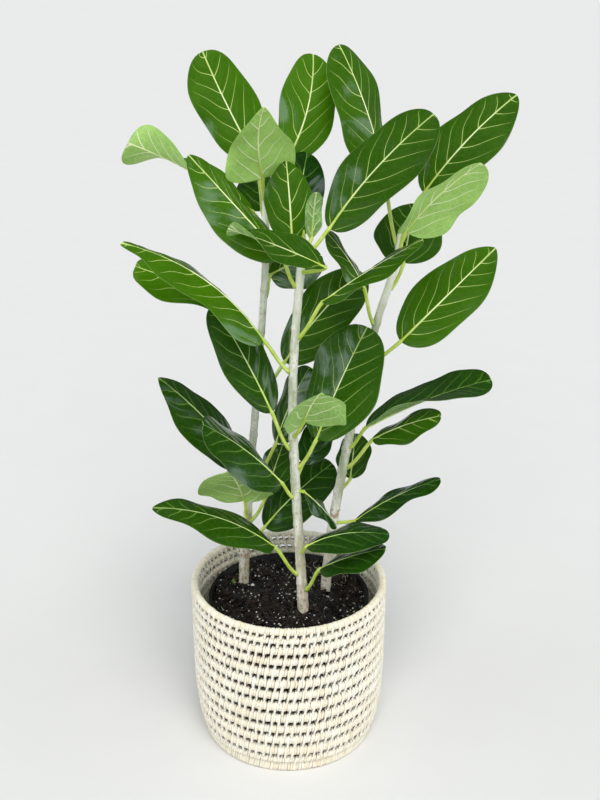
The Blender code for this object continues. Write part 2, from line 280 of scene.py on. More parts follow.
def veinGroup():
    # "vein" holds (phase along the side veins, v across, u along). A side vein lies where the
    # phase is halfway between whole numbers, and thins towards the margin.
    def fromHalf(value):
        return calc("ABSOLUTE", calc("SUBTRACT", calc("FRACT", value), 0.5))

    widest = startGroup("leafVeins", "Width", "NodeSocketFloat")
    phase, across, _ = split(attribute("vein", "Vector"))
    across, away = calc("ABSOLUTE", across), fromHalf(phase)
    width = times(widest, calc("SUBTRACT", 1.0, times(across, 0.72)))
    main = times(fade(away, width, times(width, 0.35)), fade(across, 0.96, 0.6))
    # fainter veins between them, which stop two thirds of the way out
    thin = fade(fromHalf(plus(phase, 0.5)), times(width, 0.5), 0.004)
    thin = times(thin, calc("SUBTRACT", 0.13, times(across, 0.2)))
    # the midrib, in the middle of the flattened blade
    flat = uvMap("flat")
    rib = fade(calc("ABSOLUTE", calc("SUBTRACT", split(flat)[1], 0.5)), 0.0042, 0.0015)
    # the fine net
    wobble = addNode("ShaderNodeTexNoise", {"Vector": flat, "Scale": 22.0}).outputs["Color"]
    wobble = addNode("ShaderNodeVectorMath", {0: wobble, "Scale": 0.035}, operation="SCALE")
    bent = addNode("ShaderNodeVectorMath", {0: flat, 1: wobble.outputs[0]}, operation="ADD")
    inputs = {"Vector": bent.outputs[0], "Scale": 30.0}
    cells = addNode("ShaderNodeTexVoronoi", inputs, feature="DISTANCE_TO_EDGE").outputs["Distance"]
    vein = calc("MAXIMUM", rib, calc("MAXIMUM", main, thin))
    glow = times(fade(away, 0.26, 0.0), fade(across, 1.0, 0.5))
    return endGroup(Vein=vein, Net=fade(cells, 0.09, 0.0), Margin=fade(across, 0.965, 0.995), Glow=glow)


fibres = fibreGroup()
veins = veinGroup()


def palmMaterial(name, light, dark):
    # Dried palm strip: each strand has its own tone, with streaks and tan or green patches.
    material = startMaterial(name)
    seen = useGroup(fibres, Strand=uvMap("strand"))
    share = plus(times(seen["Streak"], 0.4), times(attribute("tone"), 0.6))
    # the last layer is painted shade between coils and on the sides of strips
    colour = layered(
        tint(fade(share, 0.1, 0.8), dark, light),
        (fade(seen["Patch"], 0.54, 0.74), 0.3, (0.88, 0.72, 0.50)),
        (fade(seen["Patch"], 0.44, 0.25), 0.3, (0.80, 0.84, 0.70)),
        (attribute("paintedShade"), 1.0, (0.012, 0.009, 0.006)))
    return shade(material, colour, 0.62, 0.35, seen["Streak"], 0.12, 0.3 * mm)


palm = palmMaterial("palm_strip", (0.95, 0.90, 0.77), (0.86, 0.77, 0.59))
# stitches: a lighter copy of the palm strip, painted light standing in for the light the narrow, rounded
# stitches catch
palmStitchPaintedLight = palmMaterial("palm_stitch_painted_light", (0.97, 0.94, 0.84), (0.91, 0.85, 0.71))
palmCore = palmMaterial("palm_core", (0.70, 0.62, 0.46), (0.58, 0.50, 0.37))

leafLook = {
    # pairs of colours are for the darkest and the brightest leaf
    "leaf_top": {
        "blade": ((0.003, 0.028, 0.001), (0.074, 0.228, 0.001)),
        "patch": ((0.007, 0.052, 0.002), (0.115, 0.295, 0.004)),
        "vein": ((0.10, 0.24, 0.04), (0.66, 0.80, 0.26)),
        "net": (0.16, 0.32, 0.03), "glow": (0.12, 0.28, 0.01),
        "patchRange": (0.4, 0.7), "patchShare": 0.4, "netShare": 0.07, "veinWidth": 0.035,
        "veinHeight": -0.5, "netHeight": -0.12, "roughness": 0.13, "specular": 0.22,
    },
    "leaf_under": {
        # the brighter colours below are partly painted light, standing in for light coming through the
        # leaf
        "blade": ((0.20, 0.36, 0.12), (0.46, 0.76, 0.17)),
        "patch": ((0.14, 0.28, 0.08), (0.31, 0.56, 0.10)),
        "vein": ((0.93, 0.97, 0.66), (0.93, 0.97, 0.66)),
        "net": (0.62, 0.84, 0.36), "glow": (0.34, 0.56, 0.16),
        "patchRange": (0.38, 0.66), "patchShare": 0.45, "netShare": 0.35, "veinWidth": 0.075,
        "veinHeight": 1.0, "netHeight": 0.22, "roughness": 0.5, "specular": 0.15,
    },
}


def leafMaterial(name):
    # Waxy blade: deep green with sunk veins above, pale with raised veins below.
    look, material = leafLook[name], startMaterial(name)
    found, tone, place = useGroup(veins, Width=look["veinWidth"]), attribute("tone"), objectPlace()
    patch = noise(place, 26.0)
    # the blade follows the leaf's tone, which is partly painted light
    colour = layered(
        tint(tone, *look["blade"]),
        (fade(patch, *look["patchRange"]), look["patchShare"], tint(tone, *look["patch"])),
        (found["Net"], look["netShare"], look["net"]),
        (found["Glow"], 0.10, look["glow"]),
        (noise(place, 420.0, detail=2), 0.08, (0.02, 0.05, 0.01)),
        (found["Vein"], 0.85, tint(fade(tone, 0.02, 0.45), *look["vein"])),
        (found["Margin"], 0.3, (0.38, 0.52, 0.16)))
    height = plus(times(found["Vein"], look["veinHeight"]), times(found["Net"], look["netHeight"]))
    roughness = plus(look["roughness"], times(patch, 0.16))
    return shade(material, colour, roughness, look["specular"], height, 0.5, 0.8 * mm)


leafTop = leafMaterial("leaf_top")
leafUnder = leafMaterial("leaf_under")


def stalkMaterial():
    # Yellow-green and slightly glossy, paler along the midrib.
    material, place = startMaterial("leaf_stalk"), objectPlace()
    colour = tint(fade(noise(place, 60.0), 0.35, 0.7), (0.45, 0.61, 0.06), (0.63, 0.77, 0.16))
    rib = tint(fade(attribute("tone"), 0.1, 0.5), (0.52, 0.70, 0.26), (0.93, 0.98, 0.56))
    colour = tint(fade(attribute("along"), 0.0, 0.5), colour, rib)
    return shade(material, colour, 0.38, 0.45, noise(place, 500.0, detail=2), 0.15, 0.4 * mm)


leafStalk = stalkMaterial()


def barkMaterial():
    # Smooth pale bark with fine cracks, dark dots and leaf scars, warmer near the soil.
    # "marks" holds (leaf scar, height share, brown band).
    material, place = startMaterial("bark"), objectPlace()
    up = stretched(place, (1, 1, 0.22))
    patch = noise(up, 70.0, detail=5, roughness=0.62)
    crack = noise(up, 520.0, detail=4, roughness=0.7)
    dots = noise(stretched(place, (1, 1, 1.8)), 380.0, detail=1)
    fleck = noise(stretched(place, (1, 1, 0.6)), 210.0, detail=4, roughness=0.65)
    scar, share, brown = split(attribute("marks", "Vector"))
    pale = fade(patch, 0.36, 0.60)
    warm = tint(pale, (0.58, 0.46, 0.34), (0.92, 0.82, 0.70))
    colour = layered(
        tint(pale, (0.44, 0.49, 0.33), (0.84, 0.86, 0.76)),
        (fade(crack, 0.52, 0.66), 0.45, (0.36, 0.34, 0.22)),
        (fade(dots, 0.64, 0.71), 0.75, (0.38, 0.24, 0.15)),
        (fade(share, 0.42, 0.08), 0.6, warm),
        (fade(plus(fleck, brown), 0.70, 0.78), 0.8, (0.40, 0.24, 0.15)),
        (times(scar, fade(crack, 0.4, 0.62)), 0.55, (0.36, 0.31, 0.18)),
        (fade(share, 0.72, 0.98), 0.85, (0.96, 0.98, 0.84)))
    return shade(material, colour, 0.68, 0.3, plus(crack, times(patch, 0.6)), 0.4, 0.7 * mm)


bark = barkMaterial()


def soilMaterial():
    # Moist and near black, with brown crumbs, pale specks that are painted glints, and patches that shine.
    material, place = startMaterial("soil_crumb"), objectPlace()
    crumbs = addNode("ShaderNodeTexVoronoi", {"Vector": place, "Scale": 520.0})
    patch = noise(place, 48.0, detail=5, roughness=0.65)
    brown, paintedGlint, _ = split(crumbs.outputs["Color"])
    colour = layered(
        tint(fade(patch, 0.4, 0.68), (0.0014, 0.0011, 0.0010), (0.014, 0.0105, 0.0085)),
        (fade(brown, 0.74, 0.95), 0.6, (0.085, 0.060, 0.042)),
        # pale specks: painted glints on the damp crumbs
        (fade(paintedGlint, 0.975, 0.985), 1.0, (0.70, 0.68, 0.62)))
    roughness = plus(0.12, times(fade(patch, 0.44, 0.62), 0.55))
    height = plus(times(crumbs.outputs["Distance"], -1.4), noise(place, 700.0, roughness=0.6))
    return shade(material, colour, roughness, 0.35, height, 0.9, 1.6 * mm)


soilCrumb = soilMaterial()


def plainMaterial(name, light, dark, scale, roughness, strength):
    # Two close colours in patches, with a fine uneven surface.
    material, place = startMaterial(name), objectPlace()
    colour = tint(fade(noise(place, scale, detail=4), 0.35, 0.68), dark, light)
    return shade(material, colour, roughness, 0.2, noise(place, scale * 6), strength, 0.5 * mm)


blackPlastic = plainMaterial("black_pot", [0.014] * 3, [0.007] * 3, 90.0, 0.6, 0.2)
# white grains: perlite, and also painted glints of the damp soil
perliteAndGlints = plainMaterial("perlite", (0.92, 0.91, 0.88), (0.62, 0.60, 0.55), 300.0, 0.8, 0.6)
chipBrown = plainMaterial("bark_chip", (0.048, 0.030, 0.020), (0.010, 0.007, 0.005), 220.0, 0.5, 0.8)
rootPale = plainMaterial("root_fibre", (0.66, 0.60, 0.50), (0.30, 0.24, 0.18), 120.0, 0.7, 0.3)
budGreen = plainMaterial("bud_sheath", (0.40, 0.50, 0.10), (0.27, 0.38, 0.05), 140.0, 0.42, 0.15)
sproutGreen = plainMaterial("sprout", (0.20, 0.34, 0.05), (0.12, 0.24, 0.03), 140.0, 0.5, 0.15)
print("materials ready")


basket = {
    # heights of the rows of gaps, as shares of the basket's height
    "gaps": (0.0674, 0.1264, 0.2145, 0.2912, 0.3670, 0.4471, 0.5260, 0.6013, 0.6775, 0.7524,
             0.8216, 0.8925, 0.9550),
    "baseRadius": 114.6 * mm,
    "curve": 6.0,  # the radius shrinks as (1 - share of height) to this power
    "periods": (79, 84),  # stitches in one round, at the base and at the top
    "gap": 3.5 * mm,  # height left open between two coils
    "topGap": 2.4 * mm,  # the same under the rim
    "joint": 0.2 * mm,  # height left between the foot or rim and the next coil
    "depth": 4.2 * mm,  # half the thickness of a coil
    "core": 0.3 * mm,  # how far a coil's bundle stays within its strips
    "strip": 1.2 * mm,  # how far a wrapped strip stands off the coil
    "slack": 1.34,  # width of a wrapped strip, as a share of its pitch
    # cross section of a strip, in shares of its width and thickness
    "section": ((-0.5, -0.5), (-0.24, 0.85), (0.24, 0.85), (0.5, -0.5)),
    "edgeShade": 0.2,  # painted shade on the sides of a strip, where it meets the next
    "lean": 0.8 * mm,
    "stitchWidth": 4.0 * mm,
    "stitchThick": 0.9 * mm,
    "stitchBelow": 3.6 * mm,  # how far a long stitch runs on below its gap
    # angles of the points round a long stitch, close together where it dips
    "stitchSteps": (-90, -62, -40, -30, -22, -14, -5, 22, 50, 75, 102, 138, 180, 222, 250),
    "dip": (1.5 * mm, 2.1 * mm),  # depth of the dip, and height over which it runs
    # the two thick coils, closely wrapped: wraps, half thickness, lean
    "rim": (268, 3.7 * mm, 0.7 * mm),
    "foot": (196, 2.9 * mm, 1.0 * mm),
    "baseCoil": (4.55 * mm, 9.2 * mm),  # half width and pitch of the flat coils in the base
}
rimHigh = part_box("basket_rim")[1]
basketTop, topRadius = rimHigh.z, rimHigh.x


def coilRadius(height, depth=basket["depth"]):
    # Sides that are nearly straight, and round in towards the floor.
    narrowing = (1 - height / basketTop) ** basket["curve"]
    return topRadius - (topRadius - basket["baseRadius"]) * narrowing - depth - basket["strip"]


def bandLoops(angle, height, radius, sizes, power=2.0, shaded=0.0, dip=0.0):
    # Strips closed into loops. sizes holds half height, half depth, width, thickness and lean,
    # each with its spread. A loop is a superellipse in radius and height, slides sideways by
    # lean * sin, and dips in between two coils at the height dip below its middle.
    n = len(angle)
    angle, height = (np.broadcast_to(value, n)[:, None] for value in (angle, height))
    halfHeight, halfDepth, width, thick, lean = (
        (size * rng.uniform(1 - spread, 1 + spread, n))[:, None] for size, spread in sizes)
    t = np.radians(basket["stitchSteps"] if dip else np.arange(0, 360, 30))
    c, s = np.cos(t), np.sin(t)
    r = radius + halfDepth * (np.sign(c) * np.abs(c) ** (2 / power))
    z = halfHeight * (np.sign(s) * np.abs(s) ** (2 / power))
    if dip:
        deep, tall = basket["dip"]
        r = r - deep * hump(z + dip, tall) * np.clip(c * 2, -1, 1)
    out = unit(stacked(c / halfDepth, s / halfHeight)) * thick[..., None]
    across, lift = np.array(basket["section"]).T
    # axes: strip, place round the loop, place in the section
    turn = angle[..., None] + ((lean * s)[..., None] + across * width[..., None]) / radius
    points = polar(r[..., None] + out[..., :1] * lift, turn, (height + z)[..., None] + out[..., 1:] * lift)
    around, count = len(t), len(across)
    faces, = repeated([ringQuads(around, count, closed=True)[:, ::-1]], n, around * count)
    number = np.arange(n)[:, None, None]
    strand = stacked(t[:, None] / (2 * math.pi) * 0.05 + number * 0.37 % 0.9,
                     np.linspace(0.2, 0.8, count) * 0.004 + number * 0.61 % 0.9)
    tone = np.repeat(rng.uniform(0, 1, n), around * count)
    # painted shade at the top and bottom of a loop, where it faces the next coil, and on the sides of each
    # strip
    ends = shaded * np.clip((np.abs(s) - 0.82) / 0.18, 0, 1)
    edges = np.where(np.abs(across) > 0.4, basket["edgeShade"], 0)
    paintedShade = np.tile(np.maximum(ends[:, None], edges).reshape(-1), n)
    return points.reshape(-1, 3), faces, strand.reshape(-1, 2), tone, paintedShade


def coilCore(height, halfHeight, halfDepth, radius, steps=96, sides=12, shaded=0.0):
    # The bundle inside the wraps: an ellipse carried round the basket.
    a, t = circle(steps)[:, None], circle(sides)
    points = polar(radius + halfDepth * np.cos(t), a, height + halfHeight * np.sin(t)).reshape(-1, 3)
    faces = ringQuads(steps, sides, closed=True)[:, ::-1]
    strand = stacked(a / 8, t / 900).reshape(-1, 2)
    # painted shade at the top and bottom of the bundle, where it faces the next coil
    paintedShade = np.tile(shaded * np.clip(np.abs(np.sin(t)) * 3 - 1.8, 0, 1), steps)
    return points, faces, strand, np.full(len(points), 0.4), paintedShade


def addWeave(name, parts, material, node):
    # Joins several sets of points, faces and values in one piece.
    points, faces, *values = zip(*parts)
    strand, tone, paintedShade = (np.concatenate(value) for value in values)
    starts = np.cumsum([0] + [len(part) for part in points[:-1]])
    addPiece(name, np.concatenate(points), [part + start for part, start in zip(faces, starts)],
             [material], "palm", [node], uv={"strand": strand}, values={"tone": tone, "paintedShade": paintedShade})


def wraps(angle, pitch, low, high, depth, lean, shaded=0.0):
    # One coil's strips, side by side and a little uneven.
    middle, half, strip = (low + high) / 2, (high - low) / 2, basket["strip"]
    radius = coilRadius(middle, depth)
    angle = angle + rng.uniform(-0.1, 0.1, len(angle)) * pitch
    height = middle + rng.normal(0, 0.15 * mm, len(angle))
    sizes = ((half - strip, 0.03), (depth, 0.04), (pitch * radius * basket["slack"], 0.12),
             (strip, 0.2), (lean, 0.4))
    return bandLoops(angle, height, radius, sizes, shaded=shaded)


def stitchAngles(count, phase):
    return (np.arange(count) + rng.uniform(-0.08, 0.08, count)) * 2 * math.pi / count + phase


def makeWall(gaps):
    coils, stitches, cores = [], [], []
    depth, strip, gap = basket["depth"], basket["strip"], basket["gap"]
    width, thick = basket["stitchWidth"], basket["stitchThick"]
    fewest, most = basket["periods"]
    phase = 0.0
    for row, (low, high) in enumerate(zip(gaps[:-1], gaps[1:])):
        count = round(fewest + (most - fewest) * (low + high) / 2 / basketTop)
        pitch = 2 * math.pi / count
        bottom = low + (gap / 2 if row else basket["joint"])
        top = high - (basket["topGap"] if high == gaps[-1] else gap / 2)
        phase += rng.uniform(0.2, 0.5) * pitch
        # two short wraps, then a long stitch that also catches the coil below
        places = (np.arange(count)[:, None] + np.array([0.34, 0.67])).reshape(-1) * pitch + phase
        coils.append(wraps(places, pitch / 3, bottom, top, depth, basket["lean"], shaded=1.0))
        middle, half = (bottom + top) / 2, (top - bottom) / 2
        cores.append(coilCore(middle, half - strip, depth - 0.2 * mm, coilRadius(middle), shaded=1.0))
        under = low - gap / 2 - basket["stitchBelow"] if row else bottom
        centre, reach = (under + top) / 2, (top - under) / 2 - strip
        angle = stitchAngles(count, phase)
        height = centre + rng.normal(0, 0.4 * mm, count)
        sizes = ((reach, 0.03), (depth + 0.2 * mm, 0.04), (width, 0.2), (thick, 0.2), (1.5 * mm, 0.5))
        dip = centre - low if row else 0.0
        stitches.append(bandLoops(angle, height, coilRadius(centre), sizes, 2.8, dip=dip))
    # short stitches that hold the rim to the top coil
    edge = gaps[-1] - 0.4 * mm
    sizes = ((6.0 * mm, 0.05), (depth + 0.3 * mm, 0.05), (width, 0.15), (thick, 0.2), (0.9 * mm, 0.4))
    stitches.append(bandLoops(stitchAngles(most, 0), edge, coilRadius(edge), sizes, 2.6))
    half = len(coils) // 2
    addWeave("basket_coils_lower", coils[:half], palm, "basket_wall")
    addWeave("basket_coils_upper", coils[half:], palm, "basket_wall")
    addWeave("basket_stitches", stitches, palmStitchPaintedLight, "basket_wall")
    addWeave("basket_cores", cores, palmCore, "basket_wall")


def makeBasket():
    gaps = np.array(basket["gaps"]) * basketTop
    makeWall(gaps)
    # low edge, high edge and half height of the core
    bands = {"rim": (gaps[-1] + basket["joint"], basketTop, 4.0 * mm),
             "foot": (0.1 * mm, gaps[0], gaps[0] / 2 - 1.6 * mm)}
    for name, (low, high, halfCore) in bands.items():
        count, depth, lean = basket[name]
        pitch = 2 * math.pi / count
        strips = wraps(np.arange(count) * pitch, pitch, low, high, depth, lean)
        middle = (low + high) / 2
        inside = coilCore(middle, halfCore, depth - basket["core"], coilRadius(middle, depth))
        addWeave(f"basket_{name}_wrap", [strips, inside], palm, f"basket_{name}")
    # the base: coils laid flat, as rings that touch
    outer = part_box("basket_base")[1]
    halfWide, pitch = basket["baseCoil"]
    rings = [coilCore(outer.z / 2, outer.z / 2, halfWide, radius, max(24, int(radius * 900)), 10)
             for radius in np.arange(6 * mm, outer.x - 4 * mm, pitch)]
    addWeave("basket_base_coils", rings, palm, "basket_base")


makeBasket()
print("basket ready")


pot = {"steps": 120, "foot": 80 * mm, "wall": 1.5 * mm, "floor": 2 * mm,
       "lipOut": 2.5 * mm, "lipHigh": 5 * mm, "bend": 0.6 * mm}


def makePot():
    # A thin cup turned about +Z, with a lip round its top.
    (_, _, base), (lip, _, top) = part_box("nursery_pot")
    foot, wall, bend = pot["foot"], pot["wall"], pot["bend"]
    floor, body, under = base + pot["floor"], lip - pot["lipOut"], top - pot["lipHigh"]
    outline = np.array([
        (foot - wall - 1 * mm, floor), (foot - wall, floor + 1 * mm), (body - wall, top - bend),
        (body - wall + bend, top), (lip - 0.9 * mm, top), (lip - 0.2 * mm, top - 0.3 * mm),
        (lip, top - 1 * mm), (lip, under + 0.4 * mm), (lip - 0.4 * mm, under), (body, under),
        (body - bend, under - bend), (foot + bend, base + 1 * mm), (foot - 0.4 * mm, base)])
    points = polar(outline[:, :1], circle(pot["steps"]), outline[:, 1:]).reshape(-1, 3)
    points = np.vstack([points, [0, 0, floor], [0, 0, base]])
    addPiece("pot", points, flipped(closedTube(len(outline), pot["steps"])),
             [blackPlastic], "black_plastic", ["nursery_pot"])


makePot()
print("pot ready")


soil = {
    "radius": 102.4 * mm, "rings": 110, "steps": 280,
    "swell": 2.4 * mm, "mound": 1.6 * mm,  # slow waves, and smaller ones
    "lumps": 2100, "batch": 150, "highest": 6.5 * mm,
    "under": 8 * mm,  # height of the plain underside above the pot's floor
    "narrow": 0.78,  # its radius, as a share of the top's
}
soilBottom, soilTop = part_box("soil")


def soilHeight(x, y):
    # Slow waves that fall towards the edge, and half-round crumbs, of which the highest shows.
    flat = stacked(x, y, 0)
    height = soilTop.z - 3.5 * mm - 2.5 * mm * (np.hypot(x, y) / soil["radius"]) ** 3
    height = height + soil["swell"] * smoothNoise(flat, 60 * mm, 3)
    height = height + soil["mound"] * smoothNoise(flat, 15 * mm, 4)
    crumbs = np.random.default_rng(5)
    top = np.zeros(x.shape)
    for _ in range(soil["lumps"] // soil["batch"]):
        place = crumbs.uniform(-1, 1, (soil["batch"], 2)) * soil["radius"]
        size = crumbs.gamma(2.0, 1.5 * mm, soil["batch"]) + 1.2 * mm
        away = np.hypot(x[..., None] - place[:, 0], y[..., None] - place[:, 1]) / size
        top = np.maximum(top, (np.sqrt(np.clip(1 - away**2, 0, 1)) * size * 0.95).max(-1))
    return height + np.minimum(top, soil["highest"])


def makeSoil():
    # Rings from the middle of the top outwards, and one more below.
    shares = np.linspace(0, 1, soil["rings"] + 1)[1:, None] ** 0.8
    top = polar(shares * soil["radius"], circle(soil["steps"]), 0.0)
    top[..., 2] = soilHeight(top[..., 0], top[..., 1])
    centre = soilHeight(np.zeros(1), np.zeros(1))[0]
    below = soilBottom.z + soil["under"]
    foot = top[-1] * (soil["narrow"], soil["narrow"], 0) + (0, 0, below)
    points = np.vstack([top.reshape(-1, 3), foot, [0, 0, centre], [0, 0, below]])
    faces = flipped(closedTube(soil["rings"] + 1, soil["steps"]))
    addPiece("soil_surface", points, faces, [soilCrumb], "soil", ["soil"])


def onDisc(dice, count, radius):
    # Places spread evenly over a disc.
    away, turn = np.sqrt(dice.uniform(0, 1, count)) * radius, dice.uniform(0, 2 * math.pi, count)
    return away * np.cos(turn), away * np.sin(turn)


def scatter(name, count, size, shape, material, seed, spread, rows, steps, sink):
    # Many small lumps in one piece: balls of a few rows, turned, stretched and roughened.
    dice = np.random.default_rng(seed)
    rise = np.linspace(-math.pi / 2, math.pi / 2, rows + 2)[1:-1, None]
    ball = polar(np.cos(rise), circle(steps), np.sin(rise)).reshape(-1, 3)
    ball = np.vstack([ball, [0, 0, -1], [0, 0, 1]])
    x, y = onDisc(dice, count, soil["radius"] * spread)
    scale = dice.gamma(3.0, size / 3.0, count)[:, None, None] * np.array(shape)
    frames = np.linalg.qr(dice.normal(size=(count, 3, 3)))[0]
    frames[np.linalg.det(frames) < 0, :, 0] *= -1
    flat = dice.uniform(0, 0.5, (count, 1, 1))
    lumps = ball * scale * (1 + dice.uniform(-0.22, 0.22, (count, len(ball), 1)))
    lumps = np.einsum("cij,cnj->cni", frames, lumps)
    lumps[..., 2:] *= 1 - flat
    middle = stacked(x, y, soilHeight(x, y) + scale.max(axis=(1, 2)) * (0.5 - sink))
    faces = repeated(closedTube(rows, steps), count, len(ball))
    addPiece(name, (lumps + middle[:, None]).reshape(-1, 3), faces, [material], "soil")


def strands(name, count, length, thick, material, seed, centre, spread, lift):
    # Thin roots and fibres that lie on the soil in loose curves.
    dice, n = np.random.default_rng(seed), 12
    startX, startY = onDisc(dice, count, spread)
    heading = dice.uniform(0, 2 * math.pi, count)[:, None]
    heading = heading + np.cumsum(dice.normal(0, 0.32, (count, n)), axis=1)
    step = (length * dice.uniform(0.5, 1.2, count) / (n - 1))[:, None]
    x = centre[0] + startX[:, None] + np.cumsum(np.cos(heading) * step, 1)
    y = centre[1] + startY[:, None] + np.cumsum(np.sin(heading) * step, 1)
    shrink = np.minimum(1, 0.955 * soil["radius"] / np.maximum(np.hypot(x, y), 1e-6))
    x, y = x * shrink, y * shrink
    s = np.linspace(0, 1, n)
    arch = lift * dice.uniform(0.1, 1, (count, 1)) * np.sin(math.pi * s)
    radius = thick * dice.uniform(0.6, 1.2, (count, 1)) * (1 - 0.55 * s)
    points, faces = tubes(stacked(x, y, soilHeight(x, y) + 0.4 * mm + arch), radius)
    addPiece(name, points, faces, [material], "soil")


makeSoil()
# real perlite, with more and whiter grains than that, as painted highlights for the damp soil's glints
scatter("soil_perlite_and_glints", 300, 0.8 * mm, (1, 0.9, 0.75), perliteAndGlints, 21, 0.97, 2, 5, sink=0.3)
scatter("soil_chips", 130, 3.0 * mm, (1.4, 0.8, 0.35), chipBrown, 22, 0.95, 3, 7, sink=0.35)
strands("soil_fibres", 130, 34 * mm, 0.42 * mm, chipBrown, 23, (0, 0), 96 * mm, 5 * mm)
strands("pale_roots", 16, 26 * mm, 0.45 * mm, rootPale, 24, (0.055, 0.045), 34 * mm, 6 * mm)
strands("seedling", 4, 10 * mm, 0.9 * mm, sproutGreen, 25, (-0.078, 0.030), 2 * mm, 5 * mm)
print("soil ready")


# (x, y, z, radius) at points up the middle of each stem, in millimetres.
stems = {
    "front": [
        (19, -36, 155, 7.6), (19, -36, 196, 7.6), (17, -37, 240, 6.6), (14, -38, 300, 6.2),
        (8, -40, 410, 5.9), (6, -40, 490, 5.5), (10, -40, 590, 5.0), (16, -38, 660, 5.0),
        (18, -38, 688, 4.6)],
    "left": [
        (-62, 36, 155, 7.0), (-62, 36, 196, 7.0), (-53, 34, 325, 5.4), (-41, 32, 468, 4.8),
        (-32, 31, 575, 4.5), (-27, 30, 650, 4.4), (-26, 30, 700, 4.2), (-27, 30, 737, 4.0)],
    "right": [
        (50, 18, 155, 7.0), (50, 18, 196, 7.0), (55, 16, 267, 6.4), (69, 14, 370, 6.0),
        (87, 12, 475, 5.5), (110, 12, 581, 4.8), (130, 12, 654, 4.4), (136, 12, 690, 4.2)],
}
barkShape = {
    "stations": 260, "sides": 20,
    "buried": 20,  # how far up its route a stem starts, in millimetres
    "scarEvery": 27 * mm,  # distance between old leaf scars
    "scarHeight": 0.45 * mm,
    "rough": 0.035,  # unevenness, as a share of the radius
    # brown bands: height of the middle, half height and soft edge in millimetres, strength
    "front": [(15, 15, 12, 0.16)], "left": [(55, 45, 12, 0.19)],
    "right": [(116, 0, 12, 0.25), (0, 0, 30, 0.2)],
}


def stemAt(name, height):
    # Cubic Hermite curve through the stem's points: (x, y, z, radius) at a height.
    points = np.array(stems[name], float)
    z = points[:, 2]
    slopes = np.gradient(points, z, axis=0)
    i = np.clip(np.searchsorted(z, height) - 1, 0, len(z) - 2)
    step = (z[i + 1] - z[i])[:, None]
    t = ((height - z[i])[:, None]) / step
    low = (2 * t**3 - 3 * t**2 + 1) * points[i] + (t**3 - 2 * t**2 + t) * step * slopes[i]
    high = (3 * t**2 - 2 * t**3) * points[i + 1] + (t**3 - t**2) * step * slopes[i + 1]
    return low + high


def makeStem(name, seed):
    # A slightly uneven tube that swells at each leaf scar.
    dice = np.random.default_rng(seed)
    bottom, top = stems[name][0][2] + barkShape["buried"], stems[name][-1][2]
    heights = np.linspace(bottom, top, barkShape["stations"])
    line = stemAt(name, heights) * mm
    middle, radius, z = line[:, :3], line[:, 3], line[:, 2:3]
    scars = np.cumsum(dice.uniform(0.7, 1.3, 60)) * barkShape["scarEvery"] + 0.185
    scars = scars[scars < (top - 4) * mm]
    scar = hump(z - scars, 1.5 * mm).sum(1)
    turn = dice.uniform(0, 2 * math.pi, len(scars))
    # just above its ring a scar stands out on one side
    sides = barkShape["sides"]
    facing = np.clip(np.cos(circle(sides) - turn[:, None]), 0, 1) ** 2
    oneSide = (hump(z[..., None] - scars[:, None] - 2.4 * mm, 2.2 * mm) * facing).sum(1)
    ahead = unit(np.gradient(middle, axis=0))
    across = unit(np.array([1.0, 0, 0]) - ahead * ahead[:, :1])
    ring = spokes(across, np.cross(ahead, across), sides)
    rough = smoothNoise(middle[:, None] + ring * radius[:, None, None], 14 * mm, seed + 1)
    wide = radius[:, None] * (1 + barkShape["rough"] * rough)
    wide = wide + barkShape["scarHeight"] * (scar[:, None] + 1.6 * oneSide)
    points = (middle[:, None] + ring * wide[..., None]).reshape(-1, 3)
    points = np.vstack([points, middle[0], middle[-1] + ahead[-1] * 0.8 * mm])
    foot = z[:, 0] - soilTop.z
    brown = sum(strength * hump(np.clip(np.abs(foot - at * mm) - half * mm, 0, 1), edge * mm)
                for at, half, edge, strength in barkShape[name])
    marks = stacked(np.clip(scar, 0, 1), (heights - bottom) / (top - bottom), brown).repeat(sides, 0)
    addPiece(f"stem_{name}_bark", points, closedTube(len(heights), sides), [bark], "bark",
             [f"stem_{name}"], values={"marks": np.vstack([marks, marks[:1], marks[-1:]])})


for number, name in enumerate(stems):
    makeStem(name, 31 + number * 10)

# Growing tips: length and radius in millimetres.
tips = {"front": (17, 3.4), "right": (9, 3.6)}


def makeTip(name):
    # A tapering sheath that bends a little to one side.
    length, radius = tips[name]
    top = stems[name][-1][2]
    line = stemAt(name, [top - 30, top])[:, :3] * mm
    s = np.linspace(0, 1, 16)
    path = line[1] + np.outer(0.3 * mm + s * length * mm, unit(line[1] - line[0]))
    path = path + np.outer(np.sin(s * math.pi) * 0.5 * mm, [1, 0.3, 0])
    radii = radius * mm * np.sqrt(np.clip(1 - s**1.7, 0, 1)) * (0.82 + 0.18 * np.cos(s * 3)) + 0.18 * mm
    points, faces = tubes(path[None], radii[None], 14)
    addPiece(f"bud_{name}", points, faces, [budGreen], "bud", [f"growing_tip_{name}"])


makeTip("front")
makeTip("right")
print("stems ready")


leafDefaults = dict(twist=0, bow=0.04, swing=0.0, fold=-8, cup=-0.12, base=0.5, point=0.45)


def row(at, petiole, blade, roll, tone, **shape):
    return leafDefaults | dict(at=at, petiole=petiole, blade=blade, roll=roll, tone=tone) | shape
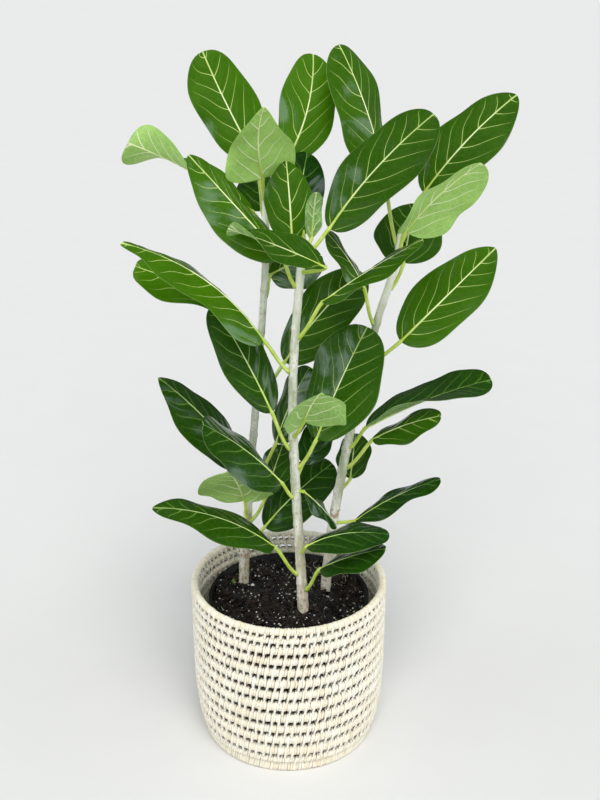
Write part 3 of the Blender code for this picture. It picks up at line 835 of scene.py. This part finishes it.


# One row for each leaf of a stem: its height, petiole (bearing, rise, length), blade (bearing,
# rise, length, width), roll, and tone from dark to bright green, in millimetres and degrees.
# A bearing is measured in plan from +X towards +Y.
# A leaf's tone is partly its own green and partly painted light: higher for upper leaves lit from behind
# and for undersides lit through the leaf, lower for low leaves in shade.
leaves = {"front": [
    row(229, (322, 62, 46), (348, 25, 92, 58), 2, 0.1),
    row(253, (213, 57, 62), (186, 23, 162, 66), -8, 0.15, bow=0.09, twist=-30, base=0.45, point=0.75),
    row(287, (299, 52, 20), (357, 10, 105, 68), 2, 0.08, bow=0.1),
    row(374, (330, 10, 5), (12, -52, 70, 32), 20, 0.08),
    row(366, (221, 57, 31), (204, 44, 138, 82), -26, 0.15, fold=-15, point=0.4),
    row(388, (70, 24, 26), (50, 36, 64, 42), 40, 0.1),
    row(406, (339, 62, 48), (27, 63, 150, 92), 35, 0.22, bow=0.02),
    row(431, (190, 68, 55), (156, 59, 147, 58), -50, 0.16, swing=0.03),
    row(450, (292, 48, 42), (287, 44, 84, 84), 0, 0.5, fold=-30),
    row(532, (196, 55, 52), (184, 37, 200, 70), -12, 0.55, fold=-22, bow=0.1, point=0.8),
    row(576, (342, 59, 55), (355, 34, 136, 60), 5, 0.35, bow=0.02),
    row(637, (197, 68, 40), (186, 49, 156, 72), -38, 0.55, fold=-25, bow=0.0, point=0.65),
    row(650, (95, 47, 65), (75, 58, 92, 60), 30, 0.05),
    row(656, (308, 20, 43), (184, 23, 118, 52), -45, 0.25, twist=105, fold=10, cup=0, base=0.7, point=0.4,
        bow=0.02),
    row(668, (131, 63, 25), (100, 65, 92, 60), -10, 0.5, point=0.7),
    row(674, (14, 48, 41), (3, 48, 172, 74), 62, 0.24),
    row(680, (40, 55, 16), (290, 74, 58, 22), 0, 0.15),
], "left": [
    row(253, (335, 57, 42), (20, 39, 124, 72), 35, 0.15),
    row(292, (334, 62, 54), (61, 52, 68, 44), 10, 0.2),
    row(298, (264, 65, 40), (260, 44, 118, 90), 10, 0.7),
    row(352, (340, 62, 69), (19, 65, 108, 64), 20, 0.1),
    row(360, (254, 50, 35), (183, 50, 160, 70), -35, 0.13, point=0.75, fold=-15),
    row(474, (350, 56, 57), (9, 49, 148, 76), 50, 0.32),
    row(541, (209, 54, 62), (185, 28, 126, 54), -30, 0.8, base=0.7, point=0.3),
    row(603, (48, 74, 28), (43, 6, 87, 66), 60, 0.4),
    row(694, (150, 46, 20), (192, 31, 168, 78), -22, 0.7, twist=108, fold=18, cup=0, base=0.8, point=0.3),
    row(719, (114, 66, 53), (145, 57, 144, 74), -45, 0.6, bow=-0.02, point=0.42),
    row(727, (50, 47, 49), (48, 68, 132, 68), 35, 0.75, bow=-0.02, swing=-0.08),
    row(726, (260, 74, 28), (274, 54, 112, 84), 12, 0.83, fold=0, swing=-0.05, base=0.24, point=0.95),
    row(700, (110, 40, 14), (98, 32, 70, 50), 0, 0.1),
], "right": [
    row(300, (350, 12, 24), (355, 31, 126, 50), 5, 0.05, bow=0.05),
    row(345, (60, 10, 28), (74, 62, 60, 46), 0, 0.15),
    row(381, (341, 54, 56), (338, 28, 98, 50), 25, 0.35),
    row(411, (322, 57, 41), (4, 21, 167, 84), -12, 0.15, twist=40, fold=28, bow=0.035),
    row(526, (344, 41, 49), (5, 46, 159, 76), 58, 0.45, bow=0.0, point=0.66),
    row(515, (89, 10, 30), (139, 16, 80, 52), -30, 0.2),
    row(575, (201, 75, 49), (186, 56, 84, 52), -22, 0.4),
    row(620, (21, 63, 35), (75, 42, 88, 86), 0, 0.25),
    row(650, (290, 68, 50), (335, 45, 122, 94), -26, 0.8, base=0.32, point=0.45, fold=-15),
    row(672, (124, 70, 83), (156, 68, 160, 76), -24, 0.4, fold=-14),
    row(680, (43, 56, 62), (14, 45, 157, 72), 58, 0.35, point=0.6),
]}
leafShape = {
    "stations": 60,
    "columns": 13,  # on each side of the midrib
    "ribColumn": 0.02,  # one more beside it, which keeps the veins of the two halves apart
    "thick": 0.8 * mm,
    "edgeThick": 0.35 * mm,
    "point": 0.4 * mm,  # how far the tip is past the last ring of points
    "unfold": 0.7,  # how much of the fold is gone at the tip
    "quilt": 0.6 * mm,  # how far the blade puffs up between its side veins
    "bulge": 0.085,  # share by which the outline strays from an even curve
    "wave": 3.4 * mm,  # ripple of the margin
    "swell": 1.6 * mm,  # slow unevenness of the whole blade
    "swellSize": 70 * mm,
    "veinPitch": 25 * mm,
    "fewestVeins": 3.5,  # side veins on each half of a short blade
    "petioleRadius": 2.5 * mm,
    "ribRadius": 1.7 * mm,
    "tipRadius": 0.45 * mm,
    "petiolePoints": 14,
    "ribPoints": 40,
    "stalkSides": 8,
    "gap": 0.3 * mm,  # from the stem's side to where a petiole's length starts
    "sunk": 1.2 * mm,  # how far it reaches back from there
    "handles": (0.28, 0.2),  # its curve's handles, as shares of its length
    "flatSize": 250 * mm,  # size of the flattened blade's map
}


def direction(bearing, rise):
    b, r = math.radians(bearing), math.radians(rise)
    return np.array([math.cos(r) * math.cos(b), math.cos(r) * math.sin(b), math.sin(r)])


def halfWidth(u, leaf):
    # u^base * (1 - u)^point, scaled to reach half the width at base / (base + point).
    base, point = leaf["base"], leaf["point"]
    widest = base / (base + point)
    share = u**base * (1 - u) ** point / (widest**base * (1 - widest) ** point)
    return share * leaf["blade"][3] * mm / 2


def bladeFrame(leaf):
    # Directions along the blade, to its left and out of its top, before any roll.
    bearing, rise = leaf["blade"][:2]
    along, left = direction(bearing, rise), direction(bearing + 90, 0)
    return along, left, np.cross(along, left)


def petiolePath(leaf, stem):
    # Cubic Bezier curve from inside the stem to the blade's base.
    bearing, rise, length = leaf["petiole"]
    length, toBase = length * mm, direction(bearing, rise)
    here, above = stemAt(stem, [leaf["at"], leaf["at"] + 5]) * mm
    grain = unit(above[:3] - here[:3])
    out = direction(bearing, 0)
    out = unit(out - grain * np.dot(out, grain))
    root = here[:3] + out * (here[3] + leafShape["gap"])
    base = root + toBase * length
    firstHandle, lastHandle = leafShape["handles"]
    first = root + (0.3 * out + toBase) * length * firstHandle
    second = base - (0.5 * bladeFrame(leaf)[0] + toBase) * length * lastHandle
    root = root - out * leafShape["sunk"]
    t = np.linspace(0, 1, leafShape["petiolePoints"])[:, None]
    return (1 - t)**3 * root + 3 * t * (1 - t)**2 * first + 3 * t**2 * (1 - t) * second + t**3 * base


def bladeSurface(leaf, base, u, v, seed):
    # The midrib runs along u, lifted by bow and moved by swing as 4u(1 - u). The blade reaches
    # v * half width to either side, turned by roll + twist * u^3, folded by
    # fold * (1 - unfold * u^2) and lifted at its margins by cup * v^2.
    length, halfWide = leaf["blade"][2] * mm, leaf["blade"][3] * mm / 2
    startLeft, startRight = np.random.default_rng(seed).uniform(0, 1, 2)
    along, left, up = bladeFrame(leaf)
    u, v = u[..., None], v[..., None]
    side, away = np.sign(v), np.abs(v)
    roll = np.radians(leaf["roll"] + leaf["twist"] * u**3)
    across = left * np.cos(roll) + up * np.sin(roll)
    over = up * np.cos(roll) - left * np.sin(roll)
    arch = 4 * u * (1 - u) * length
    midrib = base + along * u * length + (up * leaf["bow"] + left * leaf["swing"]) * arch
    bulge = np.sin(u * 8 + startRight * 6.28 + side * 1.7) * np.sin(math.pi * u) * v**2
    reach = halfWidth(u, leaf) * (1 + leafShape["bulge"] * bulge)
    fold = np.radians(leaf["fold"] * (1 - leafShape["unfold"] * u**2))
    lift = away * np.sin(fold) + leaf["cup"] * v**2
    surface = midrib + across * v * reach * np.cos(fold) + over * reach * lift
    # side veins bend forward, and start apart on the two halves
    count = max(leafShape["fewestVeins"], length / leafShape["veinPitch"])
    bend = away * reach / length * (1.0 + 0.75 * away * reach / halfWide)
    wander = 0.16 * np.sin(u * 9 + startLeft * 6) + 0.07 * np.sin(v * 5 + u * 14 + startRight * 6)
    phase = count * (u - bend) + np.where(v < 0, startLeft, startRight) + wander
    # the blade puffs up between veins, ripples at the margin and swells here and there
    puff = leafShape["quilt"] * np.cos(2 * math.pi * phase) * np.clip(away * 5, 0, 1) * (1 - v**2)
    ripple = leafShape["wave"] * np.sin(u * 9.5 + startLeft * 6.28 + side * 0.8) * away**3
    ripple = ripple * np.sin(math.pi * u)
    spots = stacked(u * length, v * halfWide, seed)
    swell = leafShape["swell"] * smoothNoise(spots, leafShape["swellSize"], 77, octaves=2)
    surface = surface + over * (puff + ripple + swell * np.clip(away * 3, 0, 1))
    return surface, over, phase[..., 0]


def makeBlade(leaf, base, seed):
    # Rings from base to tip, each over the upper side and back along the under side.
    share = np.linspace(0, 1, leafShape["stations"])
    u = 0.003 + 0.994 * (0.72 * share + 0.28 * (0.5 - 0.5 * np.cos(math.pi * share)))
    half = np.sin(np.linspace(0, 1, leafShape["columns"])[1:] * math.pi / 2)
    half = np.concatenate([[leafShape["ribColumn"]], half])
    v = np.concatenate([half[::-1], [0], -half])
    middle, over, phase = bladeSurface(leaf, base, *np.meshgrid(u, v, indexing="ij"), seed)
    normal = unit(np.cross(np.gradient(middle, axis=0), np.gradient(middle, axis=1)))
    normal *= np.sign((normal * over).sum(-1, keepdims=True))
    edge = leafShape["edgeThick"]
    thick = (edge + (leafShape["thick"] - edge) * (1 - v**6))[:, None]
    top, under = middle + normal * thick / 2, middle - normal * thick / 2
    top[:, 0], top[:, -1] = middle[:, 0], middle[:, -1]
    back = slice(-2, 0, -1)  # the under side's columns, without the margins
    rings = np.concatenate([top, under[:, back]], 1)
    rib = middle[:, len(half)]
    tip = rib[-1] + unit(rib[-1] - rib[-2]) * leafShape["point"]
    points = np.vstack([rings.reshape(-1, 3), rib[0], tip])
    around = rings.shape[1]
    quads, *caps = closedTube(len(u), around)
    onTop = np.arange(len(quads)) % around < len(v) - 1
    ringV, ringPhase = np.concatenate([v, v[back]]), np.concatenate([phase, phase[:, back]], 1)
    vein = stacked(ringPhase, ringV, u[:, None]).reshape(-1, 3)
    length, size = leaf["blade"][2] * mm, leafShape["flatSize"]
    flat = stacked(0.1 + (u * length / size)[:, None], 0.5 + halfWidth(u, leaf)[:, None] * ringV / size)
    flat = flat.reshape(-1, 2)
    vein, flat = (np.vstack([value, value[:1], value[-1:]]) for value in (vein, flat))
    return points, [quads[onTop], quads[~onTop], *caps], vein, flat


def makeStalk(leaf, curve, seed):
    # Petiole and midrib in one tube, thicker at both ends of the petiole.
    share = np.linspace(0, 1, len(curve))
    swell = 1 + 0.22 * hump(share, 0.09) + 0.12 * hump(share - 1, 0.12)
    radius = leafShape["petioleRadius"] * (0.98 - 0.08 * share) * swell
    u = np.linspace(0.0, 0.985, leafShape["ribPoints"])[1:]
    rib, over, _ = bladeSurface(leaf, curve[-1], u, np.zeros(len(u)), seed)
    thin, thick, sides = leafShape["tipRadius"], leafShape["ribRadius"], leafShape["stalkSides"]
    ribRadius = thin + (thick - thin) * (1 - u) ** 1.15
    rib = rib - over * (np.clip(u / 0.06, 0, 1) * ribRadius * 0.34)[:, None]
    line, radii = np.concatenate([curve, rib]), np.concatenate([radius, ribRadius])
    points, faces = tubes(line[None], radii[None], sides)
    along = np.concatenate([np.zeros(len(curve)), u]).repeat(sides)
    return points, faces, np.concatenate([along, [0, 1]])


def makeLeaf(stem, name, leaf, seed):
    # The blade and its stalk in one piece.
    curve = petiolePath(leaf, stem)
    blade, bladeFaces, vein, flat = makeBlade(leaf, curve[-1], seed)
    stalk, stalkFaces, along = makeStalk(leaf, curve, seed)
    faces = bladeFaces + [group + len(blade) for group in stalkFaces]
    vein = np.vstack([vein, np.zeros((len(stalk), 3))])
    flat = np.vstack([flat, np.full((len(stalk), 2), 0.02)])
    along = np.concatenate([np.zeros(len(blade)), along])
    change = np.random.default_rng(seed + 500).uniform(-0.06, 0.06)
    tone = np.full(len(along), np.clip(leaf["tone"] + change, 0, 1))
    values = {"vein": vein, "tone": tone, "along": along}
    addPiece(f"ficus_leaf_{name}", np.vstack([blade, stalk]), faces, [leafTop, leafUnder, leafStalk],
             "leaf", [f"leaf_{name}"], slots=[0, 1, 1, 1, 2, 2, 2], uv={"flat": flat}, values=values)


seed = 100
for stem, rows in leaves.items():
    for number, leaf in enumerate(rows, 1):
        makeLeaf(stem, f"{stem}_{number:02d}", leaf, seed)
        seed += 1
print("leaves ready")


studio = {
    "floor": (0.80, 0.80, 0.795),
    "floorReach": 40.0,
    "world": (0.93, 0.96, 1.0),
    "worldStrength": 0.18,
    # suns light the surfaces: from, strength, angle in degrees, colour
    "suns": [
        ((0.12, -0.46, 1.0), 1.3, 26, (1.0, 0.985, 0.955)),
        ((0.0, -1.0, 0.8), 1.05, 45, (1.0, 1.0, 0.98)),
        ((0.0, -0.3, 1.0), 0.75, 150, (0.95, 0.98, 1.0)),
        ((1.0, -0.3, 0.25), 0.55, 45, (0.88, 0.95, 1.0)),
        ((-1.0, -0.3, 0.25), 0.55, 45, (0.88, 0.95, 1.0))],
    # panels are only seen in the gloss: place, aim, size, power
    "panels": [((2.3, -0.8, 0.9), (0, 0, 0.55), 1.6, 52), ((-2.3, -1.0, 1.0), (0, 0, 0.55), 1.6, 56)],
    "panelColour": (0.84, 0.93, 1.0),
    "lens": 50.0, "sensor": 36.0, "farthest": 100.0,
    "cameraPlace": (0.015, -1.284, 1.003),
    "cameraDown": 22.17,  # degrees below the horizontal
}


def makeFloor():
    material = startMaterial("floor")
    pale = tuple(value * 0.97 for value in studio["floor"])
    share = noise(objectPlace(), 9.0, detail=5)
    shade(material, tint(share, pale, studio["floor"]), 0.9, 0.0)
    size = studio["floorReach"]
    points = [(-size, -size, 0), (size, -size, 0), (size, size, 0), (-size, size, 0)]
    floor = addMesh("floor", points, [np.array([[0, 1, 2, 3]])], [material])


def addLamp(name, kind, power, size, colour, place, away):
    # away points from what is lit to the lamp.
    data = bpy.data.lights.new(name, kind)
    data.energy, data.color = power, colour
    setattr(data, "angle" if kind == "SUN" else "size", size)
    lamp = addObject(name, data)
    x, y, z = away
    lamp.location = place
    lamp.rotation_euler = (math.atan2(math.hypot(x, y), z), 0, math.atan2(x, -y))
    lamp.visible_glossy, lamp.visible_diffuse = kind == "AREA", kind == "SUN"


def makeLight():
    # Wide suns light all surfaces evenly; panels put a sheen on the leaves.
    for number, (away, power, angle, colour) in enumerate(studio["suns"]):
        addLamp(f"sun{number}", "SUN", power, math.radians(angle), colour, (0, 0, 3), away)
    for number, (place, aim, size, power) in enumerate(studio["panels"]):
        away = np.subtract(place, aim)
        addLamp(f"panel{number}", "AREA", power, size, studio["panelColour"], place, away)
    world = bpy.data.worlds.new("studio")
    world.use_nodes = True
    backdrop = world.node_tree.nodes["Background"].inputs
    backdrop["Color"].default_value = (*studio["world"], 1)
    backdrop["Strength"].default_value = studio["worldStrength"]
    bpy.context.scene.world = world


def makeCamera():
    data = bpy.data.cameras.new("camera")
    data.lens, data.sensor_width, data.clip_end = studio["lens"], studio["sensor"], studio["farthest"]
    camera = addObject("camera", data)
    camera.location = studio["cameraPlace"]
    camera.rotation_euler = (math.radians(90 - studio["cameraDown"]), 0, 0)
    bpy.context.scene.camera = camera


makeFloor()
makeLight()
makeCamera()
bpy.context.scene.view_settings.view_transform = "Standard"

print("scene ready")
